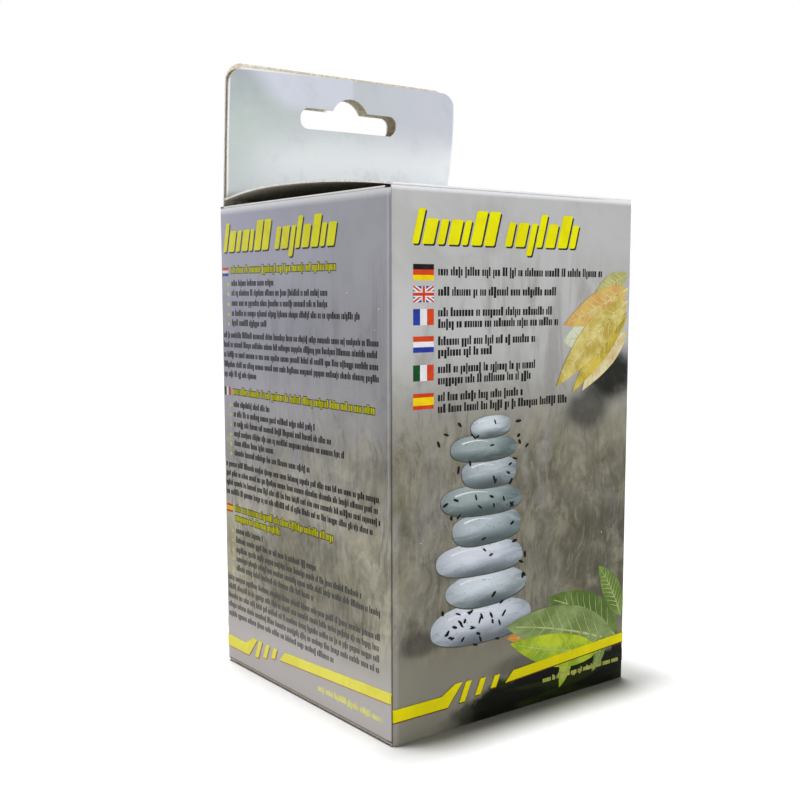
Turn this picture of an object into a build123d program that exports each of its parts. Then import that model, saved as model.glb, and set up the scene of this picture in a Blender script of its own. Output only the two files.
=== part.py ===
from build123d import *

import math
import os

# Boxed reptile fly feeder: a hang-tab folding carton and, inside it, a clear twist-lock fly feeder.
# Millimetres. +Z is up and the origin is the centre of the carton's underside. The carton's front
# panel faces -Y and its left panel faces -X.

# Feeder, clear plastic: the cup
cup_radius = 33.5  # outside of the cup's wall
cup_wall = 1.4
cup_floor = 1.6
cup_rim_rise = 1.2  # neck above its lugs
foot_ring_width = 2.5
foot_ring_height = 0.8
foot_fillet = 0.7
bead_height = 38.0  # grip bead round the cup
bead_radius = 0.6
ledge_top = 50.0  # ledge that the vent ring turns on
ledge_width = 1.4
ledge_thickness = 1.5

# Clearances of the parts that turn on the cup
turn_clearance = 0.25  # radial
seat_clearance = 0.3  # axial

# Vent ring
ring_wall = 1.0
ring_flange_height = 2.2
ring_flange_inset = 0.4  # how far the flange and its ribs stay inside the collar
ring_rib_size = 0.8
ring_ribs_per_group = 5
ring_rib_pitch = 4.0  # degrees
ring_height = 13.5  # flange and band together

# Hood
hood_wall = 1.2
flare_height = 9.6  # cone from the collar to the tube
hood_tube_radius = 33.5
hood_tube_height = 36.9
rim_height = 3.2
rim_lip = 0.8
rim_ledge_width = 1.5
rim_ledge_height = 1.3

# Vents: slits in the cup, windows in the ring and in the collar
vent_count = 3
vent_height = 7.6
vent_sill = 1.9  # from the collar's lower edge up to its windows
window_angle = 40.0
ring_window_angle = 38.0
slit_width = 0.9
slit_pitch = 4.4  # degrees
slits_per_vent = 8

# Twist lock: lugs on the cup, latches in the hood under them
lug_angle = 14.0
lug_height = 2.0
lug_depth = 0.8
latch_angle = 20.0
latch_height = 1.5
latch_drop = 0.3  # gap between a latch and the lug above it

# Grille with its feeding hole
grille_thickness = 1.6
grille_clearance = 0.2
grille_border = 2.6  # plain border of the grille
grille_slot_width = 1.2
grille_slot_pitch = 2.8
grille_slot_bridge = 2.4  # rib that crosses the slots at their middle
feed_hole_x = 13.0
feed_hole_y = 4.0
feed_hole_radius = 8.5
feed_hole_collar = 1.4  # wall of the collar under the hole, and its depth

# Hatch that swings over the feeding hole, and its riveted pin
hatch_pivot_x = 6.0
hatch_pivot_y = -13.0
hatch_overlap = 1.9  # hatch beyond the edge of the hole
hatch_thickness = 1.1
hatch_lift = 0.15  # gap under the hatch
hatch_eye_radius = 4.0
hatch_knob_radius = 2.0
hatch_knob_height = 1.0
pin_radius = 1.6
pin_head_radius = 2.8
pin_head_height = 0.9
pin_clearance = 0.06

# Carton, coated board
board = 0.5
crease_gap = 0.06  # between two panels that share a crease
crease_radius = 0.4  # outside of a fold across a flap
corner_radius = 0.6  # upright folds
carton_clearance = 0.8  # between the collar and the carton's walls
stand_gap = 0.2  # under the cup's foot
head_room = 2.6  # over the hatch's knob
wall_gap = 0.1  # between a tucked flap and the wall beside it

# Lid, bowed upwards
lid_side_inset = 0.5
lid_rear_gap = 2.2  # from the lid's rear fold to the back of the carton
lid_bow = 3.2
lid_peak_gap = 26.0  # from the top of the bow to the back of the carton
lid_rear_rise = 1.5

# Hang tab: the back panel's layer, which leans forward, and the lid's flexed layer in front of it
tab_inset = 1.0  # from the carton's side to the tab's
tab_corner = 4.5
tab_rear_height = 36.0
tab_front_height = 34.7
tab_lean_rear = 2.7  # how far the rear layer's top stands forward of its root
tab_flex_height = 14.0  # where the front layer's three lower leans are measured
tab_lean_left = 0.7  # how far the front layer stands forward of its root at its left edge
tab_lean_middle = 2.8
tab_lean_right = 3.5
tab_lean_left_top = 2.4  # and the same at its top
tab_lean_middle_top = 4.4
tab_lean_right_top = 4.6

# Hanging slot: a bar with a round hump
slot_width = 31.0
slot_height = 5.4
slot_end_radius = 2.4
slot_hump_radius = 6.2
slot_hump_height = 8.8
slot_rise = 20.9  # above the carton's top

# Dust flaps
flap_reach = 31.0
flap_mitre = 1.0  # run per unit of reach on the side nearest the lid's hinge
flap_taper = 5.0
flap_corner = 4.0
flap_side_gap = 1.6

# Tuck flap of the bottom lid
tuck_height = 11.5
tuck_lean = 12.0  # degrees, inwards
tuck_corner = 5.0
tuck_side_gap = 1.2

# Glue flap inside the back panel
glue_flap_width = 13.0
glue_flap_taper = 4.0
glue_flap_end_gap = 2.0

# Worked out from the values above
ring_inner = cup_radius + turn_clearance
ring_outer = ring_inner + ring_wall
collar_inner = ring_outer + turn_clearance
collar_radius = collar_inner + hood_wall
feeder_radius = max(collar_radius, hood_tube_radius + rim_lip)
half = feeder_radius + carton_clearance + board  # half the carton's width and depth
inner = half - board

ring_bottom = ledge_top + seat_clearance
ring_top = ring_bottom + ring_height
latch_bottom = ring_top + seat_clearance
lug_bottom = latch_bottom + latch_height + latch_drop
cup_height = lug_bottom + lug_height + cup_rim_rise
collar_bottom = ring_bottom + ring_flange_height + seat_clearance
flare_bottom = cup_height + seat_clearance
tube_bottom = flare_bottom + flare_height
tube_top = tube_bottom + hood_tube_height
grille_radius = hood_tube_radius - hood_wall - grille_clearance
grille_bottom = tube_top - rim_height + rim_ledge_height
grille_top = grille_bottom + grille_thickness
hatch_bottom = grille_top + hatch_lift
hatch_top = hatch_bottom + hatch_thickness
pin_head_bottom = hatch_top + pin_clearance
feeder_top = max(pin_head_bottom + pin_head_height, hatch_top + hatch_knob_height, tube_top)
vent_bottom = collar_bottom + vent_sill
vent_turn = 360 / vent_count

bottom_flap_z = board + crease_gap
side_bottom = bottom_flap_z + board + crease_gap
feeder_z = bottom_flap_z + board + stand_gap
top_flap_z = feeder_z + feeder_top + head_room
side_top = top_flap_z - crease_gap
lid_z = top_flap_z + board + crease_gap  # underside of the lid at its hinge
carton_height = lid_z + board
lid_rear_y = half - lid_rear_gap
tab_width = 2 * (half - tab_inset)
tab_fold_z = carton_height + lid_rear_rise
tuck_root_z = board + crease_gap + board * math.sin(math.radians(tuck_lean))


def tube(outer, wall, bottom, height):
    """A plain round tube standing on z = bottom."""
    ring = Circle(outer) - Circle(outer - wall)
    return extrude(Plane.XY.offset(bottom) * ring, height)


def sector(outer, wall, bottom, height, angle, middle):
    """A stretch of tube that spans an angle round its middle direction."""
    profile = Plane.XZ * Pos(outer - wall / 2, bottom + height / 2) * Rectangle(wall, height)
    return Rot(0, 0, middle - angle / 2) * revolve(profile, Axis.Z, angle)


def round_all(count, shape):
    """Copies of a shape, evenly spaced round the axis."""
    return [Rot(0, 0, 360 / count * i) * shape for i in range(count)]


def feeder_cup():
    """Open cup with a foot ring, a grip bead, the ring's ledge, three groups of slits and three lugs."""
    body = extrude(Circle(cup_radius), cup_height)
    body = fillet(body.edges().sort_by(Axis.Z)[0], foot_fillet)
    floor_top = foot_ring_height + cup_floor
    body -= extrude(Plane.XY.offset(floor_top) * Circle(cup_radius - cup_wall), cup_height)
    body -= extrude(Circle(cup_radius - foot_ring_width), foot_ring_height)
    body += Pos(0, 0, bead_height) * Torus(cup_radius, bead_radius)
    root = cup_wall / 2  # how deep the ledge and the lugs sink into the wall
    body += tube(cup_radius + ledge_width, ledge_width + root, ledge_top - ledge_thickness, ledge_thickness)
    lug = sector(cup_radius + lug_depth, lug_depth + root, lug_bottom, lug_height, lug_angle, vent_turn / 2)
    body += round_all(vent_count, lug)
    slit = Pos(0, -cup_radius, vent_bottom + vent_height / 2) * Box(slit_width, 4 * cup_wall, vent_height)
    first = -slit_pitch * (slits_per_vent - 1) / 2
    group = [Rot(0, 0, first + slit_pitch * i) * slit for i in range(slits_per_vent)]
    return body - [Rot(0, 0, vent_turn * v) * s for v in range(vent_count) for s in group]


def vent_ring():
    """Band with three windows that turns outside the slits, on a flange with grip ribs."""
    band = tube(ring_outer, ring_wall, ring_bottom, ring_height)
    flange_radius = collar_radius - ring_flange_inset - ring_rib_size / 2
    flange = tube(flange_radius, flange_radius - ring_inner, ring_bottom, ring_flange_height)
    window = sector(ring_outer + ring_wall, 3 * ring_wall, vent_bottom, vent_height, ring_window_angle, -90)
    ring = band + flange - round_all(vent_count, window)
    rib = Pos(flange_radius, 0, ring_bottom) * extrude(Circle(ring_rib_size / 2), ring_flange_height)
    first = -ring_rib_pitch * (ring_ribs_per_group - 1) / 2
    ribs = [Rot(0, 0, first + ring_rib_pitch * i) * rib for i in range(ring_ribs_per_group)]
    return ring + [Rot(0, 0, vent_turn * v - 90) * r for v in range(vent_count) for r in ribs]


def hood_outline(inset):
    """The hood's outer profile, moved inwards by inset, from the collar's edge to the rim."""
    return [
        (collar_radius - inset, collar_bottom),
        (collar_radius - inset, flare_bottom),
        (hood_tube_radius - inset, tube_bottom),
        (hood_tube_radius - inset, tube_top),
    ]


def feeder_hood():
    """Collar with three windows, cone and tube, with the grille's ledge in its rim and three latches."""
    wall = Polyline(*hood_outline(0), *reversed(hood_outline(hood_wall)), close=True)
    hood = revolve(Plane.XZ * make_face(wall), Axis.Z)
    root = hood_wall / 2  # how deep the rim, the ledge and the latches sink into the wall
    rim = tube(hood_tube_radius + rim_lip, rim_lip + root, tube_top - rim_height, rim_height)
    hood += fillet(rim.edges().filter_by(GeomType.CIRCLE).group_by(SortBy.RADIUS)[-1], rim_lip / 2)
    ledge = tube(hood_tube_radius - root, rim_ledge_width + root, tube_top - rim_height, rim_ledge_height)
    window = sector(collar_radius + hood_wall, 3 * hood_wall, vent_bottom, vent_height, window_angle, -90)
    depth = collar_inner - ring_inner + root
    latch = sector(collar_inner + root, depth, latch_bottom, latch_height, latch_angle, vent_turn / 2)
    return hood + ledge + round_all(vent_count, latch) - round_all(vent_count, window)


def grille_slots():
    """Parallel slots on the side away from the feeding hole, each broken by the middle rib."""
    reach = grille_radius - grille_border
    last = feed_hole_x - feed_hole_radius - feed_hole_collar - grille_slot_pitch / 2
    count = int((last + reach - grille_slot_pitch / 2) / grille_slot_pitch) + 1
    slots = Sketch()
    for i in range(count):
        x = last - grille_slot_pitch * i
        length = 2 * math.sqrt(reach**2 - x**2)
        cut = SlotOverall(length, grille_slot_width) - Rectangle(grille_slot_bridge, 2 * grille_slot_width)
        slots += Pos(x, 0) * Rot(0, 0, 90) * cut
    return slots


def top_grille():
    """Disc that sits on the ledge in the hood's rim, with slots and a collared feeding hole."""
    spot = Pos(feed_hole_x, feed_hole_y)
    plan = Circle(grille_radius) - grille_slots()
    plan -= spot * Circle(feed_hole_radius)
    plan -= Pos(hatch_pivot_x, hatch_pivot_y) * Circle(pin_radius)
    collar = spot * (Circle(feed_hole_radius + feed_hole_collar) - Circle(feed_hole_radius))
    disc = extrude(Plane.XY.offset(grille_bottom) * plan, grille_thickness)
    return disc + extrude(Plane.XY.offset(grille_bottom - feed_hole_collar) * collar, feed_hole_collar)


def feeding_hatch():
    """Flat cover over the feeding hole, with an eye for its pin and a knob to push it by."""
    cover = Pos(feed_hole_x, feed_hole_y) * Circle(feed_hole_radius + hatch_overlap)
    eye = Pos(hatch_pivot_x, hatch_pivot_y) * Circle(hatch_eye_radius)
    plate = extrude(Plane.XY.offset(hatch_bottom) * make_hull(cover.edges() + eye.edges()), hatch_thickness)
    plate = fillet(plate.faces().sort_by(Axis.Z)[-1].edges(), hatch_thickness / 3)
    hole = Pos(hatch_pivot_x, hatch_pivot_y) * Circle(pin_radius + pin_clearance)
    knob = Pos(feed_hole_x, feed_hole_y) * Circle(hatch_knob_radius)
    plate += extrude(Plane.XY.offset(hatch_top) * knob, hatch_knob_height)
    return plate - extrude(Plane.XY.offset(hatch_bottom) * hole, hatch_thickness)


def hatch_pin():
    """Rivet through the grille and the hatch, with a head at each end."""
    spot = Pos(hatch_pivot_x, hatch_pivot_y)
    foot = grille_bottom - pin_head_height
    shank = extrude(Plane.XY.offset(foot) * spot * Circle(pin_radius), pin_head_bottom - foot)
    head = extrude(Plane.XY.offset(pin_head_bottom) * spot * Circle(pin_head_radius), pin_head_height)
    head = fillet(head.edges().sort_by(Axis.Z)[-1], pin_head_height / 3)
    tail = extrude(Plane.XY.offset(foot) * spot * Circle(pin_head_radius), pin_head_height)
    return shank + head + tail


def slot_outline():
    """The hanging slot: a bar with rounded ends and a round hump, its lower edge on y = 0."""
    bar = Pos(0, slot_height / 2) * RectangleRounded(slot_width, slot_height, slot_end_radius)
    hump = Pos(0, slot_hump_height - slot_hump_radius) * Circle(slot_hump_radius)
    below = Pos(0, -slot_hump_radius) * Rectangle(slot_width, 2 * slot_hump_radius)
    return bar + (hump - below)


def facing_front(y, z):
    """A plane whose x runs along the front and whose y runs up, at this depth and height."""
    return Plane(origin=(0, y, z), x_dir=(1, 0, 0), z_dir=(0, -1, 0))


def sleeve_panel(direction, bottom, top):
    """One wall of the sleeve. It ends at the diagonals, so each corner fold is shared by two walls."""
    ring = RectangleRounded(2 * half, 2 * half, corner_radius) - Rectangle(2 * inner, 2 * inner)
    wedge = make_face(Polyline((0, 0), (-2 * half, -2 * half), (2 * half, -2 * half), close=True))
    wall = Rot(0, 0, direction) * (ring & wedge)
    return extrude(Plane.XY.offset(bottom) * wall, top - bottom)


def tab_outline(height, slot_bottom):
    """A hang tab's outline, standing on y = 0, with its slot."""
    tab = Pos(0, height / 2) * Rectangle(tab_width, height)
    tab = fillet(tab.vertices().group_by(Axis.Y)[-1], tab_corner)
    return tab - Pos(0, slot_bottom) * slot_outline()


def hang_tab_rear():
    """Upper part of the back panel, above the carton's top. It leans forward from its root."""
    root = lid_z - crease_gap
    rise = carton_height - root
    height = tab_rear_height + rise
    feet = [(half, root), (half - board, root)]
    tops = [(y - tab_lean_rear, z + height) for y, z in reversed(feet)]
    sheet = extrude(Plane.YZ * make_face(Polyline(*feet, *tops, close=True)), half, both=True)
    return sheet & extrude(facing_front(half, root) * tab_outline(height, slot_rise + rise), half)


def hang_tab_front():
    """The lid's layer of the hang tab, flexed: its right side stands further forward than its left."""
    root = tab_fold_z + crease_gap
    drop = root - carton_height
    height = tab_front_height - drop

    def section(rise, left, middle, right):
        # The sheet runs a little past the tab's sides, where the outline cuts it.
        first = (-half, lid_rear_y - left)
        last = (half, lid_rear_y - right)
        front = Spline(first, (0, lid_rear_y - middle), last)
        back = Pos(0, board) * front
        sides = Line(front @ 0, back @ 0) + Line(front @ 1, back @ 1)
        return Plane.XY.offset(root + rise) * make_face(front + back + sides)

    sheet = loft([
        section(0, 0, 0, 0),
        section(tab_flex_height, tab_lean_left, tab_lean_middle, tab_lean_right),
        section(height, tab_lean_left_top, tab_lean_middle_top, tab_lean_right_top),
    ])
    return sheet & extrude(facing_front(half, root) * tab_outline(height, slot_rise - drop), half)


def glue_flap():
    """Flap of the right panel, glued flat inside the back panel."""
    low = side_bottom + glue_flap_end_gap
    high = side_top - glue_flap_end_gap
    edge = inner - glue_flap_width
    line = [(inner, low), (inner, high), (edge, high - glue_flap_taper), (edge, low + glue_flap_taper)]
    return extrude(facing_front(inner, 0) * make_face(Polyline(*line, close=True)), board)


def top_lid():
    """Bowed board from the front fold to the rear fold, where the hang tab stands on it."""
    fold = (-half, lid_z)
    peak = (half - lid_peak_gap, carton_height + lid_bow - board)
    rear = (lid_rear_y, tab_fold_z - board)
    front_arc = TangentArc(peak, fold, tangent=(-1, 0))
    rear_arc = TangentArc(peak, rear, tangent=(1, 0))
    step = Pos(0, board)
    ends = Line(fold, (fold[0], fold[1] + board)) + Line((rear[0] + board, rear[1]), (rear[0] + board, rear[1] + board))
    shelf = Line(rear, (rear[0] + board, rear[1]))
    edges = front_arc + rear_arc + step * front_arc + step * rear_arc + ends + shelf + step * shelf
    side = make_face(edges)
    corners = side.vertices().group_by(Axis.X)
    side = fillet([corners[0].sort_by(Axis.Y)[-1], corners[-1].sort_by(Axis.Y)[0]], crease_radius)
    return extrude(Plane.YZ * side, half - lid_side_inset, both=True)


def dust_flap(z, hinge_side, fold_side):
    """The right-hand dust flap, its underside at z. hinge_side is the Y side of the lid's hinge, and
    fold_side says whether the outside of its fold is the upper edge (1) or the lower (-1)."""
    near = inner - flap_side_gap
    line = [
        (half, hinge_side * near),
        (half - flap_reach, hinge_side * (near - flap_mitre * flap_reach)),
        (half - flap_reach, hinge_side * (flap_taper - near)),
        (half, -hinge_side * near),
    ]
    outline = make_face(Polyline(*line, close=True))
    tips = outline.vertices().group_by(Axis.X)[0].sort_by(Axis.Y)
    near_tip = tips[0 if hinge_side < 0 else -1]
    far_tip = tips[-1 if hinge_side < 0 else 0]
    outline = fillet(fillet(far_tip, flap_corner).vertices().sort_by_distance(near_tip)[0], flap_corner / 2)
    flap = extrude(Plane.XY.offset(z) * outline, board)
    fold = flap.edges().filter_by(Axis.Y).group_by(Axis.X)[-1].sort_by(Axis.Z)[-1 if fold_side > 0 else 0]
    return fillet(fold, crease_radius)


def bottom_lid():
    """Flat board under the carton, folded from the back panel."""
    front = -inner + wall_gap
    lid = Pos(0, (front + half) / 2, board / 2) * Box(2 * (half - lid_side_inset), half - front, board)
    fold = lid.edges().filter_by(Axis.X).group_by(Axis.Y)[-1].sort_by(Axis.Z)[0]
    return fillet(fold, crease_radius)


def bottom_tuck_flap():
    """Flap of the bottom lid, tucked up behind the front panel and leaning inwards."""
    outline = Pos(0, tuck_height / 2) * Rectangle(2 * (inner - tuck_side_gap), tuck_height)
    outline = fillet(outline.vertices().group_by(Axis.Y)[-1], tuck_corner)
    flap = Rot(-tuck_lean, 0, 0) * extrude(facing_front(0, 0) * outline, -board)
    return Pos(0, -inner + wall_gap, tuck_root_z) * flap


def main():
    os.makedirs("parts", exist_ok=True)
    feeder = {
        "feeder_cup": feeder_cup(),
        "vent_ring": vent_ring(),
        "feeder_hood": feeder_hood(),
        "top_grille": top_grille(),
        "feeding_hatch": feeding_hatch(),
        "hatch_pin": hatch_pin(),
    }
    top_flap = dust_flap(top_flap_z, -1, 1)
    bottom_flap = dust_flap(bottom_flap_z, 1, -1)
    nodes = {name: Pos(0, 0, feeder_z) * shape for name, shape in feeder.items()}
    nodes |= {
        "front_panel": sleeve_panel(0, 0, lid_z - crease_gap),
        "right_panel": sleeve_panel(90, side_bottom, side_top),
        "back_panel": sleeve_panel(180, board + crease_gap, lid_z - crease_gap),
        "left_panel": sleeve_panel(-90, side_bottom, side_top),
        "glue_flap": glue_flap(),
        "top_lid": top_lid(),
        "hang_tab_front": hang_tab_front(),
        "hang_tab_rear": hang_tab_rear(),
        "top_dust_flap_right": top_flap,
        "top_dust_flap_left": mirror(top_flap, Plane.YZ),
        "bottom_lid": bottom_lid(),
        "bottom_tuck_flap": bottom_tuck_flap(),
        "bottom_dust_flap_right": bottom_flap,
        "bottom_dust_flap_left": mirror(bottom_flap, Plane.YZ),
    }
    for name, shape in nodes.items():
        export_step(shape, f"parts/{name}.step")
    print("carton", round(2 * half, 3), "wide,", round(carton_height, 3), "high; feeder", round(feeder_top, 3))
    print("lid hinge", -half, round(lid_z, 3), "tab hinge", lid_rear_y, round(tab_fold_z, 3))
    print("dust flap hinges", half, round(top_flap_z, 3), round(bottom_flap_z + board, 3))
    print("bottom lid hinge", half, board, "tuck hinge", round(-inner + wall_gap, 3), round(tuck_root_z, 3))
    print("feeder stands at", round(feeder_z, 3), "grille", round(feeder_z + grille_bottom, 3))


main()
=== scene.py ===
import math
import random

import bmesh
import bpy
from mathutils import Matrix, Vector
from mathutils.bvhtree import BVHTree


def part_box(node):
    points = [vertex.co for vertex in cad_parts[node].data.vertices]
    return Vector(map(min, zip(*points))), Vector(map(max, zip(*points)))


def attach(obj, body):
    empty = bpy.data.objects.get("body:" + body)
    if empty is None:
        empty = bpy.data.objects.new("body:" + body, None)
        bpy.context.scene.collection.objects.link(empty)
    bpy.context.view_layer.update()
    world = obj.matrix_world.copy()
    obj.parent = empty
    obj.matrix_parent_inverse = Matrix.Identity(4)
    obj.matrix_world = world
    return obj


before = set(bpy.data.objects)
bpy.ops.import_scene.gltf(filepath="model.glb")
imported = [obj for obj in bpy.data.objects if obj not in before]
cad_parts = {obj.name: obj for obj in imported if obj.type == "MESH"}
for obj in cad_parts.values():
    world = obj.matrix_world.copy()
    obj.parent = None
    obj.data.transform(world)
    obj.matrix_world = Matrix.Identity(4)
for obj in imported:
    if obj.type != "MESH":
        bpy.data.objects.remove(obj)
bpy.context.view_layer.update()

mm = 0.001
board = 0.5  # thickness of the carton's board
creaseGap = 0.06  # between the lid and the front's upper edge
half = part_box("left_panel")[0].x / -mm  # half the carton's width
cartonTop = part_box("front_panel")[1].z / mm + board + creaseGap
print("frame loaded: carton", round(2 * half, 2), "wide and", round(cartonTop, 2), "high")


# Materials

class Wire:  # a socket that can be used in sums
    def __init__(self, finish, socket):
        self.finish = finish
        self.socket = socket

    def __add__(self, other):
        return self.finish.maths("ADD", self, other)

    def __radd__(self, other):
        return self.finish.maths("ADD", other, self)

    def __sub__(self, other):
        return self.finish.maths("SUBTRACT", self, other)

    def __rsub__(self, other):
        return self.finish.maths("SUBTRACT", other, self)

    def __mul__(self, other):
        return self.finish.maths("MULTIPLY", self, other)

    def __rmul__(self, other):
        return self.finish.maths("MULTIPLY", other, self)

    def size(self):
        return self.finish.maths("ABSOLUTE", self)

    def larger(self, other):
        return self.finish.maths("MAXIMUM", self, other)

    def smaller(self, other):
        return self.finish.maths("MINIMUM", self, other)


class Nodes:  # a node tree while it is laid
    def __init__(self, tree):
        self.tree = tree
        self.tree.nodes.clear()

    def node(self, kind, settings, sockets, out=0):
        made = self.tree.nodes.new(kind)
        for key, value in settings.items():
            setattr(made, key, value)
        for key, value in sockets.items():
            if isinstance(value, Wire):
                self.tree.links.new(value.socket, made.inputs[key])
            else:
                made.inputs[key].default_value = value
        return Wire(self, made.outputs[out])

    def maths(self, operation, first, second=0.0):
        return self.node("ShaderNodeMath", {"operation": operation}, {0: first, 1: second})


class Finish(Nodes):  # a material while its nodes are laid
    def __init__(self, name):
        self.material = bpy.data.materials.new(name)
        self.material.use_nodes = True
        super().__init__(self.material.node_tree)
        metres = self.node("ShaderNodeTexCoord", {}, {}, "Object")
        self.place = self.vector("SCALE", {0: metres, "Scale": 1 / mm})
        self.x, self.y, self.z = (self.node("ShaderNodeSeparateXYZ", {}, {0: self.place}, axis)
                                  for axis in "XYZ")
        self.down = cartonTop - self.z  # millimetres below the carton's top

    def vector(self, operation, sockets, out=0):
        return self.node("ShaderNodeVectorMath", {"operation": operation}, sockets, out)

    def facing(self, direction):  # how far the surface faces a direction at rest
        normal = self.node("ShaderNodeTexCoord", {}, {}, "Normal")
        return self.vector("DOT_PRODUCT", {0: normal, 1: direction}, "Value")

    def fade(self, value, low, high, start=0.0, end=1.0):
        sockets = {0: value, "From Min": low, "From Max": high, "To Min": start, "To Max": end}
        return self.node("ShaderNodeMapRange", {"interpolation_type": "SMOOTHSTEP"}, sockets)

    def stretched(self, factors, turn=(0, 0, 0), places=None):
        sockets = {0: places or self.place, "Scale": factors, "Rotation": turn}
        return self.node("ShaderNodeMapping", {}, sockets)

    def noise(self, scale, detail=3.0, rough=0.5, warp=0.0, places=None):
        sockets = {"Vector": places or self.place, "Scale": scale,
                   "Detail": detail, "Roughness": rough, "Distortion": warp}
        return self.node("ShaderNodeTexNoise", {}, sockets)

    def mix(self, mask, first, second):
        sockets = {0: mask, 6: asColour(first), 7: asColour(second)}
        return self.node("ShaderNodeMix", {"data_type": "RGBA"}, sockets, 2)

    def scaled(self, tone, level):  # a colour made lighter or darker
        if not isinstance(level, Wire) and level == 1.0:
            return tone
        return self.vector("SCALE", {0: tone, "Scale": level})

    def spot(self, centre, size):  # 1 in the middle of a soft ellipse, 0 outside
        offset = self.vector("SUBTRACT", {0: self.place, 1: centre})
        scaled = self.vector("DIVIDE", {0: offset, 1: size})
        return self.fade(self.vector("LENGTH", {0: scaled}, "Value"), 0.25, 1.0, 1.0, 0.0)

    def bump(self, height, distance, strength):
        sockets = {"Height": height, "Distance": distance * mm, "Strength": strength}
        return self.node("ShaderNodeBump", {}, sockets)

    def finish(self, constants, tone, rough, normal=None):
        sockets = {**constants, "Base Color": tone, "Roughness": rough}
        if normal:
            sockets["Normal"] = normal
        shader = self.node("ShaderNodeBsdfPrincipled", {}, sockets)
        output = self.tree.nodes.new("ShaderNodeOutputMaterial")
        self.tree.links.new(shader.socket, output.inputs["Surface"])
        return self.material


lightLevel = 1.32  # how much brighter than its own tone the front is lit


def linear(value):
    value = value / 255
    value = value / 12.92 if value <= 0.04045 else ((value + 0.055) / 1.055) ** 2.4
    return value / lightLevel


def colour(rgb):
    return (linear(rgb[0]), linear(rgb[1]), linear(rgb[2]), 1.0)


def asColour(value):
    return value if isinstance(value, Wire) else colour(value)


# Printed ground: smooth pale grey at the top, dry beige fibres below and a sandy foot; the lilac tone
# near the top is a painted reflection
ground = {
    "paleGrey": (190, 191, 190), "smudge": (152, 149, 147), "dryBeige": (130, 126, 108),
    "deepBrown": (78, 76, 62), "lightFibre": (174, 170, 148), "darkFibre": (82, 78, 62),
    "sandFoot": (146, 142, 128), "greyFoot": (152, 148, 146), "lilacSheen": (174, 174, 200),
    "wearAndHighlight": (238, 239, 242), "crease": (74, 68, 52), "shade": (20, 20, 14),
    "leafyFoot": (5, 8, 1), "leafyStripe": (30, 40, 4),
}
depths = {  # millimetres below the top where each change starts and where it is full
    "fibres": (32, 62), "smudged": (8, 26), "clean": (96, 70), "browned": (54, 82),
    "dry": (32, 64), "damp": (112, 98), "foot": (105, 118), "lilacSheen": (92, 4),
}
patterns = {  # noise as scale, detail, roughness and warp, then each tone's limits and share
    "smudges": {"noise": (1.0, 6, 0.62, 0.6), "stretch": (0.16, 0.16, 0.032),
                "tones": {"smudge": (0.47, 0.66, 0.72)}},
    "clouds": {"noise": (0.05, 3, 0.55, 0.6), "tones": {"smudge": (0.44, 0.66, 0.30)}},
    "crumple": {"noise": (0.13, 7, 0.66, 0.5),
                "tones": {"lightFibre": (0.48, 0.66, 0.46), "darkFibre": (0.50, 0.32, 0.50)}},
    "strands": {"noise": (1.0, 6, 0.68, 0.15), "stretch": (0.62, 0.62, 0.10),
                "turns": (0.42, -0.34), "bends": (0.035, 20.0),
                "region": (0.045, 2, 0.5), "limits": (0.42, 0.58),
                "tones": {"lightFibre": (0.50, 0.66, 0.42), "darkFibre": (0.48, 0.34, 0.46)}},
}
shareAcross = {"browned": (0.45, 1.0), "lilacSheen": (0.1, 0.9, 1.0, 0.45)}  # from left edge to right
footEdge = {"noise": (0.06, 3, 0.5), "ragged": 12}
paintedSideLight = {  # painted light and shade: each side's brightness at the top, then changes from one depth to another, as light falls on that side
    "front": (0.98, [(30, 56, -0.07), (54, 82, -0.14)]),
    "left": (0.86, [(14, 30, -0.13), (34, 55, 0.52), (58, 88, 0.66), (104, 114, 0.20)]),
    "right": (0.9, []),
    "back": (1.0, []),
}
frontPaintedLight = {"reach": 0.17, "share": 0.07}  # painted light: the front is a little lighter towards its left fold
darkPlaces = {  # soft dark places: centre, half size and strength
    "front": [((68.0, 43.0), (15.0, 10.0), 0.97), ((60.0, 51.5), (11.0, 7.5), 0.70),
              ((8.0, 101.0), (9.0, 4.5), 0.60), ((44.0, 112.0), (22.0, 5.0), 0.50)],
    "left": [((40.0, 92.0), (44.0, 20.0), 0.42), ((74.0, 70.0), (10.0, 40.0), 0.20)],
    "right": [((20.0, 96.0), (30.0, 16.0), 0.35), ((66.0, 60.0), (12.0, 36.0), 0.25)],
    "back": [((60.0, 60.0), (22.0, 15.0), 0.38), ((10.0, 104.0), (12.0, 6.0), 0.45)],
}
darkEdge = {"noise": (0.22, 5, 0.65, 0.8), "ragged": 0.9}


def below(f, name):
    return f.fade(f.down, *depths[name])


def laidOver(f, base, wire, name, where=None):  # a pattern's tones, everywhere or under a mask
    for tone, (low, high, share) in patterns[name]["tones"].items():
        mask = f.fade(wire, low, high, 0.0, share)
        base = f.mix(mask if where is None else mask * where, base, ground[tone])
    return base


def warped(f, scale, reach):  # places pushed about by a slow noise
    sockets = {"Vector": f.place, "Scale": scale, "Detail": 2.0}
    drift = f.node("ShaderNodeTexNoise", {}, sockets, "Color")
    centred = f.vector("SUBTRACT", {0: drift, 1: (0.5, 0.5, 0.5)})
    return f.vector("ADD", {0: f.place, 1: f.vector("SCALE", {0: centred, "Scale": reach})})


def strandFans(f, pattern):  # two fans of strands that cross, each in its own regions
    bends = warped(f, *pattern["bends"])
    region = f.fade(f.noise(*pattern["region"]), *pattern["limits"])
    one, other = (f.noise(*pattern["noise"], f.stretched(pattern["stretch"], (turn, turn, 0), bends))
                  for turn in pattern["turns"])
    return one * region + other * (1 - region)


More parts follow.
